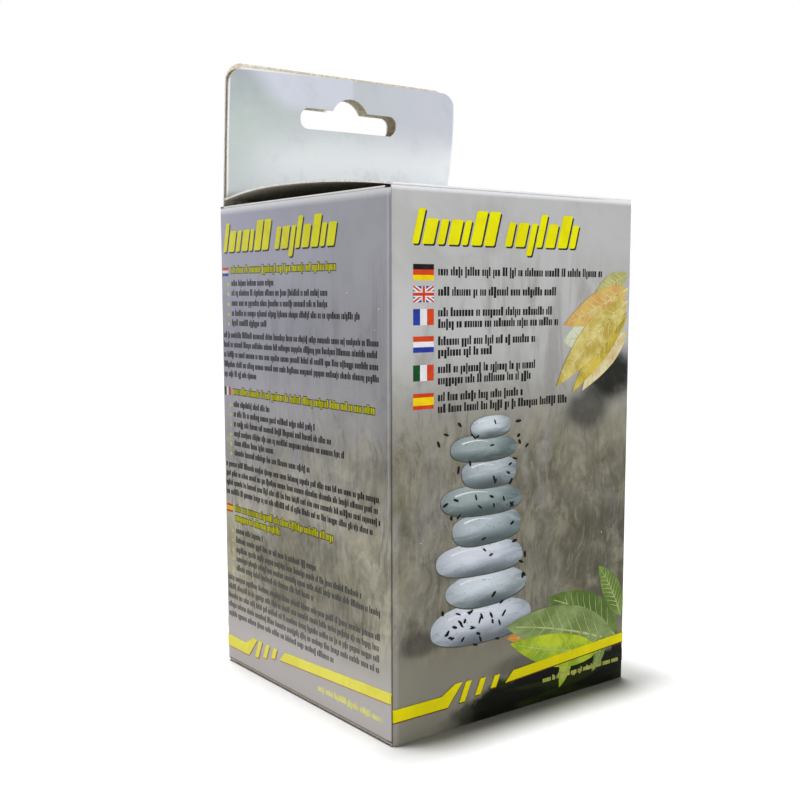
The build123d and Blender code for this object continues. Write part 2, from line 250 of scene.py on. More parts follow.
def groundColour(f, side):
    across = side.across(f)
    base = f.mix(below(f, "fibres"), ground["paleGrey"], ground["dryBeige"])
    smudges = f.noise(*patterns["smudges"]["noise"], f.stretched(patterns["smudges"]["stretch"]))
    base = laidOver(f, base, smudges, "smudges", below(f, "smudged") * below(f, "clean"))
    base = laidOver(f, base, f.noise(*patterns["clouds"]["noise"]), "clouds")
    browned = f.fade(across, *shareAcross["browned"]) * below(f, "browned") * side.browning
    base = f.mix(browned, base, ground["deepBrown"])
    dry = below(f, "dry") * below(f, "damp")
    base = laidOver(f, base, f.noise(*patterns["crumple"]["noise"]), "crumple", dry)
    base = laidOver(f, base, strandFans(f, patterns["strands"]), "strands", dry)
    foot = f.fade(f.down + f.noise(*footEdge["noise"]) * footEdge["ragged"], *depths["foot"])
    base = f.mix(foot, base, side.foot)
    # painted reflection: a lilac sheen near the top, stronger towards the left
    lilacSheen = below(f, "lilacSheen") * f.fade(across, *shareAcross["lilacSheen"]) * side.lilacSheen
    return f.mix(lilacSheen, base, ground["lilacSheen"])


def darkenedPlaces(f, side, base):
    for (u, v), (wide, high), depth in darkPlaces[side.name]:
        ragged = f.noise(*darkEdge["noise"])
        spot = f.spot(side.at(u, v), side.spread(wide, high))
        mask = f.fade(spot + (ragged - 0.5) * darkEdge["ragged"] * spot, 0.0, 1.0)
        base = f.mix(mask * depth, base, ground["shade"])
    return base


# painted light and shade: scales each side's print brighter or darker by depth, and lightens the front
# towards its left fold
def withPaintedSideLight(f, side, base):
    level, changes = paintedSideLight[side.name]
    for start, end, change in changes:
        level = f.fade(f.down, start, end, 0.0, change) + level
    # painted light near the front's left fold
    if side.name == "front":
        level = level + f.fade(side.across(f), frontPaintedLight["reach"], 0.0, 0.0, frontPaintedLight["share"])
    return f.scaled(base, level)


leafyPlace = {"noise": (0.11, 4, 0.6, 0.5), "ragged": 9, "rise": (-36, 6, -9, 0),
              "top": (112.0, 114.5), "left": (-22, -8),
              "stripes": (1.0, 4, 0.6, 0.8), "stretch": (0.05, 0.05, 0.30),
              "turn": (0, -0.45, 0), "limits": (0.44, 0.62, 0, 0.9)}


def leafyFoot(f, base):  # the front's dark wet foot, lower right
    look = leafyPlace
    edge = f.noise(*look["noise"]) * look["ragged"]
    slope = f.down + edge - look["ragged"] / 2 + f.fade(f.x, *look["rise"])
    foot = f.fade(slope, *look["top"]) * f.fade(f.x + edge, *look["left"])
    stripes = f.noise(*look["stripes"], f.stretched(look["stretch"], look["turn"]))
    leafy = f.mix(f.fade(stripes, *look["limits"]), ground["leafyFoot"], ground["leafyStripe"])
    return f.mix(foot, base, leafy)


folds = {  # millimetres from an upright fold, then from the top, and the share there; shade and crease are painted shade beside and in the fold, pale and line are painted highlights, top is wear with a painted highlight
    "shade": {"gap": (2.0, 0.7), "depth": (60, 10, 0, 0.12), "tone": "smudge"},
    "pale": {"gap": (2.2, 1.3), "depth": (60, 90, 0, 0.10), "tone": "wearAndHighlight"},
    "line": {"near": (0.70, 0.90), "far": (1.50, 1.20), "depth": (100, 40, 0.06, 0.24)},
    "crease": {"gap": (0.38, 0.24), "depth": (0, 75, 0.30, 0.92), "ragged": 0.06},
    "top": {"ragged": 0.4, "share": 0.92},
}


# wear, painted shade and painted highlights along the upright folds and the upper edge
def foldWearShadeAndHighlights(f, side, base):
    scuff = f.noise(0.8, 4, 0.7)
    gap = half - f.x.size().smaller(f.y.size())
    shared = f.fade(f.x + f.y, 0.0, -20.0)  # the edge that the front and the left side share
    # painted shade beside the front's fold near its top, in the smudge tone, and a painted highlight
    # strip lower down
    if side.name == "front":
        for mark in (folds["shade"], folds["pale"]):
            mask = f.fade(gap, *mark["gap"]) * shared * f.fade(f.down, *mark["depth"])
            base = f.mix(mask, base, ground[mark["tone"]])
    # painted highlight: a thin light line on the left side beside the fold
    if side.name == "left":
        line = f.fade(gap, *folds["line"]["near"]) * f.fade(gap, *folds["line"]["far"]) * shared
        base = f.mix(line * f.fade(f.down, *folds["line"]["depth"]), base, ground["wearAndHighlight"])
    # painted shade: a dark line along the upright folds, stronger towards the foot
    crease = folds["crease"]
    mask = f.fade(gap + scuff * crease["ragged"], *crease["gap"]) * f.fade(f.down, *crease["depth"])
    base = f.mix(mask, base, ground["crease"])
    # the upper edge: wear with a painted highlight
    top = f.fade(f.down + scuff * folds["top"]["ragged"], *side.sheen)
    return f.mix(top * folds["top"]["share"], base, ground["wearAndHighlight"])


rawBoard = {"light": (204, 198, 180), "dark": (172, 165, 147), "fibre": (218, 212, 196)}
cutEdge = {"light": (228, 222, 208), "dark": (200, 190, 172), "layer": (176, 150, 122)}
paleEdge = {"light": (232, 231, 230), "dark": (214, 211, 206), "layer": (196, 184, 168)}


def rawColour(f):  # the board's grey inside, flecked
    fleck = f.noise(0.9, 4, 0.7)
    fibre = f.noise(1.0, 3, 0.6, 0.0, f.stretched((0.5, 2.2, 2.2)))
    base = f.mix(f.fade(fleck, 0.35, 0.68), rawBoard["dark"], rawBoard["light"])
    return f.mix(f.fade(fibre, 0.50, 0.72, 0, 0.4), base, rawBoard["fibre"])


def edgeColour(f, tones):  # cut edges: pale pulp with streaks along the board
    pulp = f.noise(1.1, 4, 0.65)
    streak = f.noise(2.6, 3, 0.6)
    base = f.mix(f.fade(pulp, 0.36, 0.64), tones["dark"], tones["light"])
    return f.mix(f.fade(streak, 0.56, 0.66, 0, 0.55), base, tones["layer"])


def grained(f, base, scale, share):  # the fine dark grain of print
    return f.mix(f.fade(f.noise(scale, 2, 0.6), 0.35, 0.65, 0.0, share), base, ground["shade"])


boardCoat = {"IOR": 1.48, "Specular IOR Level": 0.07}
boardFeel = {"gloss": (0.3, 0.7, 0.34, 0.46), "rawRoughness": 0.92,
             "fine": 0.03, "broad": 0.9, "bump": 0.22}


def printedBoard(name, side, outward, fold=None, tint=None,
                 rawPaintedLight=1.0, edgePaintedLight=1.0, edges=cutEdge):
    f = Finish(name)
    facing = f.facing(outward)
    inside = f.fade(facing, -0.35, -0.45)
    if fold:
        facing = facing.larger(f.facing(fold))
    outside = f.fade(facing, 0.35, 0.45)
    if tint:
        printed = tint(f)
    else:
        printed = withPaintedSideLight(f, side, darkenedPlaces(f, side, groundColour(f, side)))
        if side.name == "front":
            printed = leafyFoot(f, printed)
        printed = foldWearShadeAndHighlights(f, side, printed)
    # painted light: raw board and cut edges made brighter where they lie in shade
    raw = f.scaled(rawColour(f), rawPaintedLight)
    edge = f.scaled(edgeColour(f, edges), edgePaintedLight)
    rough = f.fade(f.noise(0.35, 3, 0.6), *boardFeel["gloss"])
    height = f.noise(1.6, 4, 0.6) * boardFeel["fine"] + f.noise(0.045, 2, 0.5) * boardFeel["broad"]
    return f.finish(boardCoat, f.mix(outside, f.mix(inside, edge, raw), grained(f, printed, 6.0, 0.06)),
                    f.fade(outside, 0, 1, boardFeel["rawRoughness"], 0.0) + outside * rough,
                    f.bump(height, boardFeel["bump"], 0.5))


lidEdge = {"front": (-36.6, -37.2), "sides": (half - 0.75, half - 0.45), "share": 0.85}


def lidTone(f):  # the lid carries the smooth top of the printed ground
    smudges = f.noise(0.09, 5, 0.6, 0.8)
    tone = f.mix(f.fade(smudges, 0.45, 0.68, 0.0, 0.45), ground["paleGrey"], ground["smudge"])
    scuff = f.noise(0.8, 4, 0.7)
    # wear with a painted highlight along the lid's front fold and side edges
    front = f.fade(f.y + scuff * 0.5, *lidEdge["front"])
    sides = f.fade(f.x.size() + scuff * 0.4, *lidEdge["sides"])
    return f.mix(front.larger(sides) * lidEdge["share"], tone, ground["wearAndHighlight"])


# painted light: these tones and places stand in for reflections, sheen and shade on the tab's glossy
# face; level lifts them all
tabSheenTones = {"left": (176, 186, 183), "right": (186, 189, 198), "top": (148, 155, 161),
            "middle": (224, 228, 231), "rim": (240, 240, 244), "sheen": (197, 200, 214),
            "level": 1.28}
tabSheenPlaces = {"across": (-30, 36), "beltTop": (152, 138), "beltSide": (-32, 1),
             "cornerTop": (146, 162), "cornerSide": (12, -30), "crease": (109, 119),
             "creaseSide": (1.6, -0.2), "creaseTop": (146, 151),
             "rimSide": (35.9, 36.3), "rimTop": (157.4, 158.0)}


def tabWithPaintedSheen(f):  # the tab's face: unprinted, cool and very pale, with painted reflections across it, a painted bright belt, a painted sheen along its crease, a painted highlight on its rim and painted shade at its upper left corner, all lifted by a painted light level
    places = tabSheenPlaces
    drift = f.noise(0.03, 2, 0.5) * 16
    pale = f.mix(f.fade(f.x + drift, *places["across"]), tabSheenTones["left"], tabSheenTones["right"])
    # painted highlight: a bright belt across the lower middle
    paintedBelt = f.fade(f.z + drift * 0.4, *places["beltTop"])
    paintedBelt = paintedBelt * f.fade(f.x + drift + (140 - f.z) * 0.5, *places["beltSide"])
    pale = f.mix(paintedBelt * 0.92, pale, tabSheenTones["middle"])
    # painted shade at the upper left corner
    corner = f.fade(f.z - f.x * 0.12, *places["cornerTop"]) * f.fade(f.x, *places["cornerSide"])
    pale = f.mix(corner * 0.8, pale, tabSheenTones["top"])
    # painted sheen along the crease
    crease = f.fade(f.x + f.z * 0.9 + drift * 0.2, *places["crease"])
    crease = crease * f.fade(f.x, *places["creaseSide"]) * f.fade(f.z, *places["creaseTop"])
    pale = f.mix(crease * 0.85, pale, tabSheenTones["sheen"])
    smudge = f.noise(0.10, 4, 0.6)
    pale = f.mix(f.fade(smudge, 0.50, 0.72, 0, 0.22), pale, tabSheenTones["top"])
    # painted highlight along the rim
    rim = f.fade(f.x.size(), *places["rimSide"]).larger(f.fade(f.z - f.x * 0.02, *places["rimTop"]))
    pale = f.mix(rim * 0.75, pale, tabSheenTones["rim"])
    # painted light: the whole face made brighter
    return f.scaled(pale, tabSheenTones["level"])


flapTones = {"light": (222, 222, 219), "dark": (200, 200, 197), "foldBrown": (150, 118, 90),
             "foldGrey": (166, 156, 146), "foldTop": (0.55, 0.75),
             "foldReach": (half - 1.3, half - 0.9)}


def whiteFlap(f):  # coated flaps that carry no print
    smudge = f.noise(0.12, 4, 0.6)
    return f.mix(f.fade(smudge, 0.4, 0.7, 0, 0.3), flapTones["light"], flapTones["dark"])


def footFlap(f):  # the print ends just past the fold, in a brown line
    line = f.mix(f.fade(f.z, *flapTones["foldTop"]), flapTones["foldBrown"], flapTones["foldGrey"])
    return f.mix(f.fade(f.x.size(), *flapTones["foldReach"]), whiteFlap(f), line)


# A little milky, as thin moulded polystyrene looks
clearCoat = {"IOR": 1.5, "Transmission Weight": 0.87}
clearTone = (250, 252, 252)


def clearPlastic(name, tint, roughness):
    f = Finish(name)
    swirl = f.noise(0.12, 3, 0.5, 0.6)
    scratch = f.noise(1.0, 3, 0.6, 0.0, f.stretched((0.4, 0.4, 6.0)))
    return f.finish(clearCoat, f.mix(f.fade(swirl, 0.35, 0.65), tint, clearTone),
                    f.fade(scratch, 0.55, 0.75, roughness, roughness + 0.10), f.bump(swirl, 0.08, 0.4))


def whitePlastic(name):
    f = Finish(name)
    speck = f.noise(1.2, 3, 0.5)
    return f.finish({"IOR": 1.5}, f.mix(f.fade(speck, 0.4, 0.7), (232, 232, 228), (218, 219, 216)),
                    f.fade(speck, 0.3, 0.7, 0.28, 0.4), f.bump(speck, 0.02, 0.4))


inkCoat = {"IOR": 1.48, "Specular IOR Level": 0.04}


def inkFinish(f, base):  # print that lies on the board
    rough = f.fade(f.noise(0.35, 3, 0.6), *boardFeel["gloss"])
    height = f.noise(1.6, 4, 0.6)
    return f.finish(inkCoat, grained(f, base, 7.0, 0.08), rough, f.bump(height, 0.01, 0.5))


def ink(name, tone, second, scale=0.35, stretch=None, paling=None):  # mottled in two tones
    f = Finish(name)
    mottle = f.noise(scale, 5, 0.62, 0.5, f.stretched(stretch) if stretch else None)
    base = f.mix(f.fade(mottle, 0.36, 0.64), tone, second)
    if paling:  # a paler tone towards the carton's foot
        base = f.mix(f.fade(f.down, *paling["depth"]), base, paling["tone"])
    return inkFinish(f, base)


# Sides of the carton, measured in millimetres from their top left corners
foldRadius = 0.6
spreadDepth = 6.0  # how far a soft place on a side reaches in and out


class Side:
    def __init__(self, name, corner, rightward, outward, browning=0.0, lilacSheen=0.0,
                 foot=ground["sandFoot"], sheen=(2.0, 1.0)):
        self.name = name
        self.sheen = sheen  # where the upper edge's wear and painted highlight ends and is full
        self.foot = foot
        self.corner = Vector(corner)
        self.rightward = Vector(rightward)
        self.outward = Vector(outward)
        self.downward = self.rightward.cross(self.outward)
        self.browning = browning
        self.lilacSheen = lilacSheen

    def point(self, u, v, lift):
        fromFold = min(u, 2 * half - u)  # the upright folds are rounded, and print follows them
        if fromFold < foldRadius:
            lift -= foldRadius - math.sqrt(foldRadius ** 2 - (foldRadius - max(fromFold, 0)) ** 2)
        return (self.corner + self.rightward * u + self.downward * v + self.outward * lift) * mm

    def at(self, u, v):  # a place on the side, as a material needs it
        return tuple(self.point(u, v, 0) / mm)

    def spread(self, wide, high):  # half sizes along the three axes
        return tuple(abs(r) * wide + abs(d) * high + abs(o) * spreadDepth
                     for r, d, o in zip(self.rightward, self.downward, self.outward))

    def across(self, f):  # 0 at the left edge, 1 at the right one
        walked = f.vector("SUBTRACT", {0: f.place, 1: tuple(self.corner)})
        return f.vector("DOT_PRODUCT", {0: walked, 1: tuple(self.rightward / (2 * half))}, "Value")


lidClear = 0.03  # keeps flat plates above the curve between their corners
aboveLid = 0.05  # metres, where the search for the lid's height starts


class LidSide(Side):  # seen from above, with the rear fold at the top
    def __init__(self, name, corner, rightward, outward):
        super().__init__(name, corner, rightward, outward)
        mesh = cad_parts["top_lid"].data
        self.surface = BVHTree.FromPolygons([corner.co for corner in mesh.vertices],
                                            [face.vertices for face in mesh.polygons])

    def point(self, u, v, lift):  # the lid is bowed, so its height is looked up
        flat = (self.corner + self.rightward * u + self.downward * v) * mm
        hit = self.surface.ray_cast(flat + Vector((0, 0, aboveLid)), Vector((0, 0, -1)))
        return hit[0] + Vector((0, 0, (lift + lidClear) * mm))


front = Side("front", (-half, -half, cartonTop), (1, 0, 0), (0, -1, 0), 0.62, 0.0)
left = Side("left", (-half, half, cartonTop), (0, -1, 0), (-1, 0, 0), 0.0, 0.80,
            ground["greyFoot"], (3.4, 1.4))
right = Side("right", (half, -half, cartonTop), (0, 1, 0), (1, 0, 0), 0.35, 0.2)
back = Side("back", (half, half, cartonTop), (-1, 0, 0), (0, 1, 0), 0.5, 0.2)

ways = {"front": (0, -1, 0), "back": (0, 1, 0), "left": (-1, 0, 0), "right": (1, 0, 0),
        "up": (0, 0, 1), "down": (0, 0, -1)}
clearPieces = {  # name, tint and roughness of each clear piece
    "feeder_cup": ("clear_cup", (236, 242, 244), 0.04),
    "feeder_hood": ("clear_hood", (228, 238, 240), 0.05),
    "vent_ring": ("clear_ring", (220, 232, 236), 0.08),
    "top_grille": ("clear_grille", (226, 236, 238), 0.10),
    "feeding_hatch": ("clear_hatch", (230, 238, 238), 0.06),
}
nodeFinishes = {
    # the rear tab's inner face and edges are painted lighter where they lie in shade between the two
    # layers
    "hang_tab_rear": printedBoard("rear_tab_print", back, ways["back"], tint=tabWithPaintedSheen,
                                  rawPaintedLight=1.7, edgePaintedLight=1.25, edges=paleEdge),
    "hang_tab_front": printedBoard("front_tab_print", front, ways["front"], tint=tabWithPaintedSheen),
    "top_lid": printedBoard("lid_print", front, ways["up"], ways["front"], lidTone,
                            edgePaintedLight=1.3, edges=paleEdge),
    "bottom_lid": printedBoard("bottom_print", front, ways["down"], ways["back"], whiteFlap),
    "glue_flap": printedBoard("glue_flap_board", back, ways["back"], tint=whiteFlap),
    "bottom_tuck_flap": printedBoard("tuck_board", front, ways["front"], tint=whiteFlap),
    "hatch_pin": whitePlastic("white_pin"),
}
for side in (front, left, right, back):
    nodeFinishes[side.name + "_panel"] = printedBoard(side.name + "_print", side, ways[side.name])
for side in (left, right):
    for level, way, tint in (("top", "up", whiteFlap), ("bottom", "down", footFlap)):
        nodeFinishes["%s_dust_flap_%s" % (level, side.name)] = printedBoard(
            "%s_flap_%s_board" % (level, side.name), side, ways[way], ways[side.name], tint)
for node, (name, tint, roughness) in clearPieces.items():
    nodeFinishes[node] = clearPlastic(name, tint, roughness)
for node, finish in nodeFinishes.items():
    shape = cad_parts[node]
    shape.data.materials.clear()
    shape.data.materials.append(finish)
print("materials laid on", len(nodeFinishes), "nodes")


def added(name, data):
    made = bpy.data.objects.new(name, data)
    bpy.context.scene.collection.objects.link(made)
    return made


# Prints: thin closed plates that lie on the board
sink = 0.03  # how deep a plate sits in the board
layerLift = 0.02  # thickness that each layer of print adds


class Print:  # printed shapes of one kind, on one side
    def __init__(self, name, side, inks):
        self.name = name
        self.side = side
        self.inks = inks
        self.shapes = bmesh.new()

    def patch(self, outline, tone=0, layer=1):
        upper, lower = ([self.shapes.verts.new(self.side.point(u, v, lift)) for u, v in outline]
                        for lift in (layer * layerLift, -sink))
        faces = [self.shapes.faces.new(upper), self.shapes.faces.new(lower[::-1])]
        for n in range(len(outline)):
            after = (n + 1) % len(outline)
            faces.append(self.shapes.faces.new((upper[n], lower[n], lower[after], upper[after])))
        for face in faces:
            face.material_index = tone

    def lay(self, body="carton"):
        bmesh.ops.recalc_face_normals(self.shapes, faces=self.shapes.faces)
        mesh = bpy.data.meshes.new(self.name)
        self.shapes.to_mesh(mesh)
        self.shapes.free()
        for tone in self.inks:
            mesh.materials.append(tone)
        piece = added(self.name, mesh)
        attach(piece, body)


def bar(u, v, wide, high, lean=0.0, corner=0.0):  # stands on the line v, leaning right
    r = min(corner, wide / 2, high / 2)
    if r > 0:
        raw = [(r, 0), (wide - r, 0), (wide, r), (wide, high - r),
               (wide - r, high), (r, high), (0, high - r), (0, r)]
    else:
        raw = [(0, 0), (wide, 0), (wide, high), (0, high)]
    return [(u + x + y * lean, v - y) for x, y in raw]


def wavyOutline(place, size, turned, waves, count, square=2.0):  # fuller ends where more square
    (u, v), (wide, high), (along, across) = place, size, turned
    outline = []
    for n in range(count):
        angle = 2 * math.pi * n / count
        swell = 1 + sum(height * math.sin(k * angle + phase) for k, height, phase in waves)
        x, y = (reach * swell * math.copysign(abs(part) ** (2 / square), part)
                for reach, part in ((wide, math.cos(angle)), (high, math.sin(angle))))
        outline.append((u + x * along - y * across, v + x * across + y * along))
    return outline


def oval(u, v, wide, high, turn=0.0, count=20, uneven=0.0, seed=0):
    rng = random.Random(seed)
    waves = [(k, rng.uniform(-uneven, uneven), rng.uniform(0, 6.28)) for k in (2, 3, 5)]
    return wavyOutline((u, v), (wide, high), (math.cos(turn), math.sin(turn)), waves, count)


def grown(outline, by):  # the same shape, a little larger all round
    cu = sum(u for u, v in outline) / len(outline)
    cv = sum(v for u, v in outline) / len(outline)
    return [(u + math.copysign(by, u - cu), v + math.copysign(by, v - cv)) for u, v in outline]


def moved(outline, across, down):
    return [(u + across, v + down) for u, v in outline]


word = {"widths": (0.26, 0.50), "tall": 1.40, "drop": 0.36, "gap": 0.15, "wordGap": 0.42}


def wordRow(start, end, v, high, seed):  # small upright dashes that stand for a line of words
    rng = random.Random(seed)
    bars = []
    u = start
    while u < end:
        for n in range(rng.randint(2, 9)):
            wide = high * rng.uniform(*word["widths"])
            tall = high * (word["tall"] if rng.random() < 0.26 else 1.0)
            drop = high * (word["drop"] if rng.random() < 0.09 else 0.0)
            if u + wide > end:
                return bars
            bars.append(bar(u, v + drop, wide, tall + drop))
            u += wide + high * word["gap"]
        u += high * word["wordGap"]
    return bars


title = {"slant": 0.27, "widths": (0.24, 0.27, 0.42), "gaps": (0.09, 0.12), "low": 0.72,
         "drop": 0.26, "corner": 0.28, "wordGap": 0.30, "wordGapAt": 0.42, "seed": 3}


def headline(start, end, v, cap):  # slanted strokes that stand for a title
    rng = random.Random(title["seed"])
    strokes = []
    u = start
    gapLeft = True
    while u < end:
        wide = cap * rng.choice(title["widths"])
        tall = cap * (1.0 if rng.random() < 0.36 or u == start else title["low"])
        drop = cap * (title["drop"] if rng.random() < 0.12 else 0.0)
        if u + wide > end:
            break
        lean = title["slant"]
        strokes.append(bar(u - drop * lean, v + drop, wide, tall + drop, lean, title["corner"]))
        u += wide + cap * rng.choice(title["gaps"])
        if gapLeft and u > start + (end - start) * title["wordGapAt"]:
            u += cap * title["wordGap"]
            gapLeft = False
    return strokes


def leafPath(leaf, count=12):  # middle line, with its direction
    u, v = leaf["root"]
    heading = math.radians(leaf["angle"])
    turn = math.radians(leaf["bend"]) / count
    path = []
    for n in range(count + 1):
        path.append((u, v, heading))
        u += leaf["length"] / count * math.cos(heading)
        v -= leaf["length"] / count * math.sin(heading)
        heading += turn
    return path


def leafWidth(leaf, t):
    return leaf["width"] / 2 * math.sin(math.pi * min(1.0, t ** 0.82)) ** 0.85


def leafOutline(leaf):
    path = leafPath(leaf)
    count = len(path) - 1
    one, other = [], []
    for n, (u, v, heading) in enumerate(path):
        reach = leafWidth(leaf, n / count)
        if n in (0, count):
            one.append((u, v))
            continue
        one.append((u + reach * math.sin(heading), v + reach * math.cos(heading)))
        other.append((u - reach * math.sin(heading), v - reach * math.cos(heading)))
    return one + other[::-1]


def strip(points, wide):  # tapering line through the points
    one, other = [], []
    for n, (u, v) in enumerate(points):
        ahead = points[min(n + 1, len(points) - 1)]
        behind = points[max(n - 1, 0)]
        length = math.hypot(ahead[0] - behind[0], ahead[1] - behind[1]) or 1.0
        reach = wide / 2 * (1 - 0.75 * n / (len(points) - 1))
        across = ((ahead[1] - behind[1]) / length * reach, -(ahead[0] - behind[0]) / length * reach)
        one.append((u + across[0], v + across[1]))
        other.append((u - across[0], v - across[1]))
    return one + other[::-1]


vein = {"thin": 0.22, "thick": 0.28, "share": 0.055,
        "angle": math.radians(48), "reach": 0.86, "bulge": 0.05}


def leafVeins(leaf):
    path = leafPath(leaf)
    count = len(path) - 1
    thick = max(vein["thick"], leaf["width"] * vein["share"])
    veins = [strip([(u, v) for u, v, heading in path[:-1]], thick)]
    for n in range(2, count - 2):
        for hand in (1, -1):
            u, v, heading = path[n]
            reach = leafWidth(leaf, (n + 1.3) / count) * vein["reach"]
            slope = heading - hand * vein["angle"]
            length = reach / math.sin(vein["angle"])
            tip = (u + length * math.cos(slope), v - length * math.sin(slope))
            bulge = ((u + tip[0]) / 2 + vein["bulge"] * length * math.cos(heading),
                     (v + tip[1]) / 2 - vein["bulge"] * length * math.sin(heading))
            veins.append(strip([(u, v), bulge, tip], vein["thin"]))
    return veins


inkTones = {
    "black": ((22, 22, 24), (36, 35, 34)),
    "fading_black": ((22, 22, 24), (36, 35, 34), 0.35, None,
                     {"depth": (70, 112, 0, 0.62), "tone": (136, 132, 134)}),
    "yellow": ((238, 235, 4), (228, 220, 4), 0.15),
    "heading": ((214, 212, 10), (186, 184, 10), 0.3),
    "band": ((232, 221, 8), (218, 206, 6), 0.10),
    "hazy_band": ((270, 262, 116), (262, 252, 100), 0.10),
    "band_edge": ((112, 62, 26), (84, 60, 30)),
    "hazy_edge": ((214, 158, 116), (196, 150, 112)),
    "hazy_words": ((268, 266, 150), (250, 248, 126)),
    "title_shade": ((60, 58, 44), (44, 44, 36)),
    "pale_yellow": ((196, 200, 104), (160, 166, 80)),
    "white": ((238, 238, 240), (222, 222, 228)),
    "red": ((214, 72, 30), (200, 60, 28)),
    "gold": ((246, 218, 10), (236, 200, 10)),
    "blue": ((44, 66, 168), (36, 52, 140)),
    "green": ((20, 82, 38), (14, 66, 32)),
    "stone_shade": ((74, 76, 68), (92, 92, 82)),
}
inks = {name: ink(name + "_ink", *look) for name, look in inkTones.items()}

# Small stripe flags that stand before the lines of words
flagStripes = {
    "blackRedGold": ("rows", [("black", 1), ("red", 1), ("gold", 1)]),
    "blueWhiteRed": ("columns", [("blue", 1), ("white", 1), ("red", 1)]),
    "redWhiteBlue": ("rows", [("red", 1), ("white", 1), ("blue", 1)]),
    "greenWhiteRed": ("columns", [("green", 1), ("white", 1), ("red", 1)]),
    "redGoldRed": ("rows", [("red", 1), ("gold", 2), ("red", 1)]),
}
flagInks = ["black", "red", "gold", "blue", "white", "green"]


def rectangle(u, v, wide, high):
    return [(u, v), (u + wide, v), (u + wide, v + high), (u, v + high)]


def crossFlag(sheet, u, v, wide, high):  # blue with white and red crosses
    sheet.patch(rectangle(u, v, wide, high), flagInks.index("blue"))
    for tone, thick, layer in (("white", 0.20, 2), ("red", 0.07, 3)):
        a, b = thick * high * 1.6, thick * high
        one = [(0, 0), (a, 0), (wide, high - b), (wide, high), (wide - a, high), (0, b)]
        sheet.patch(moved(one, u, v), flagInks.index(tone), layer)
        other = [(wide - x, y) for x, y in one[::-1]]
        sheet.patch(moved(other, u, v), flagInks.index(tone), layer)
    for tone, thick, layer in (("white", 0.34, 4), ("red", 0.19, 5)):
        x, y, t = wide / 2, high / 2, thick * high / 2
        cross = [(x - t, 0), (x + t, 0), (x + t, y - t), (wide, y - t), (wide, y + t), (x + t, y + t),
                 (x + t, high), (x - t, high), (x - t, y + t), (0, y + t), (0, y - t), (x - t, y - t)]
        sheet.patch(moved(cross, u, v), flagInks.index(tone), layer)


def stripeFlag(sheet, u, v, wide, high, kind):
    if kind == "crosses":
        return crossFlag(sheet, u, v, wide, high)
    way, stripes = flagStripes[kind]
    total = sum(share for tone, share in stripes)
    start = 0.0
    for tone, share in stripes:
        part = share / total
        if way == "rows":
            sheet.patch(rectangle(u, v + start * high, wide, part * high), flagInks.index(tone))
        else:
            sheet.patch(rectangle(u + start * wide, v, part * wide, high), flagInks.index(tone))
        start += part


def layWords(name, side, rows, high, seed, tone="black", body="carton", layer=1):
    sheet = Print(name, side, [inks[tone]])
    for n, (start, end, v) in enumerate(rows):
        for shape in wordRow(start, end, v, high, seed + n):
            sheet.patch(shape, 0, layer)
    sheet.lay(body)


def layHeadings(name, side, rows, high, seed):  # yellow words with a dark soft edge
    sheet = Print(name, side, [inks["title_shade"], inks["heading"]])
    for n, (start, end, v) in enumerate(rows):
        for shape in wordRow(start, end, v, high, seed + n):
            sheet.patch(grown(shape, 0.18))
            sheet.patch(shape, 1, 2)
    sheet.lay()


def layHeadline(name, side, start, end, v, cap, body="carton"):
    sheet = Print(name, side, [inks["title_shade"], inks["yellow"]])
    for shape in headline(start, end, v, cap):
        sheet.patch(moved(shape, 0.42, 0.40))
        sheet.patch(shape, 1, 2)
    sheet.lay(body)


def layFlags(name, side, u, flags, wide, high):
    sheet = Print(name, side, [inks[tone] for tone in flagInks])
    for v, kind in flags:
        stripeFlag(sheet, u, v, wide, high, kind)
    sheet.lay()


def layBullets(name, side, u, lines, size):
    sheet = Print(name, side, [inks["yellow"]])
    for v in lines:
        sheet.patch(oval(u, v - size * 0.9, size, size, 0, 10))
    sheet.lay()


band = {"high": 113.0, "thick": 2.9, "thin": 2.4, "edge": 0.28, "lean": 1.1, "rise": 0.055,
        "tail": 2.2, "tailSteps": (-3.0, 1.0, 3.2, -1.2), "foldSteps": (0.2, 0.55, 1.1),
        "bars": 3, "barWidth": 1.7, "barLean": 0.45, "layer": 8}


def layBand(name, side, low, lowEnd, highStart, tone="band", edge="band_edge"):
    sheet = Print(name, side, [inks[edge], inks[tone]])  # two steps, with slanted bars between them
    lowTop, highTop = low - band["thick"], band["high"] - band["thin"]
    tailTop = lowTop - band["tail"]
    nearFold = list(band["foldSteps"])  # print bends round the rounded folds in short steps
    farFold = [2 * half - u for u in nearFold]

    def sloped(u, v):  # the right-hand step rises towards its end
        return v + (2 * half - u) * band["rise"]

    tail = zip(band["tailSteps"], (lowTop, tailTop, tailTop, low))
    lowStep = [(u, lowTop) for u in nearFold] + [(lowEnd + u, v) for u, v in tail]
    lowStep += [(u, low) for u in nearFold[::-1]]
    highTopStart = highStart + band["lean"] * band["thin"]
    highStep = [(u, sloped(u, highTop)) for u in [highTopStart] + farFold[::-1]]
    highStep += [(u, sloped(u, band["high"])) for u in farFold + [highStart]]
    pieces = [lowStep, highStep]
    for n in range(band["bars"]):
        share = (n + 0.5) / band["bars"]
        u = lowEnd + 1.0 + (highStart - lowEnd - 2.0) * (n + 0.25) / band["bars"]
        top = tailTop + (sloped(highStart, highTop) - tailTop) * share
        bottom = low + (sloped(highStart, band["high"]) - low) * share
        pieces.append(bar(u, bottom, band["barWidth"], bottom - top, band["barLean"])[::-1])
    for piece in pieces:
        sheet.patch(moved(piece, 0.0, band["edge"]), 0, band["layer"])
        sheet.patch(piece, 1, band["layer"] + 1)
    sheet.lay()


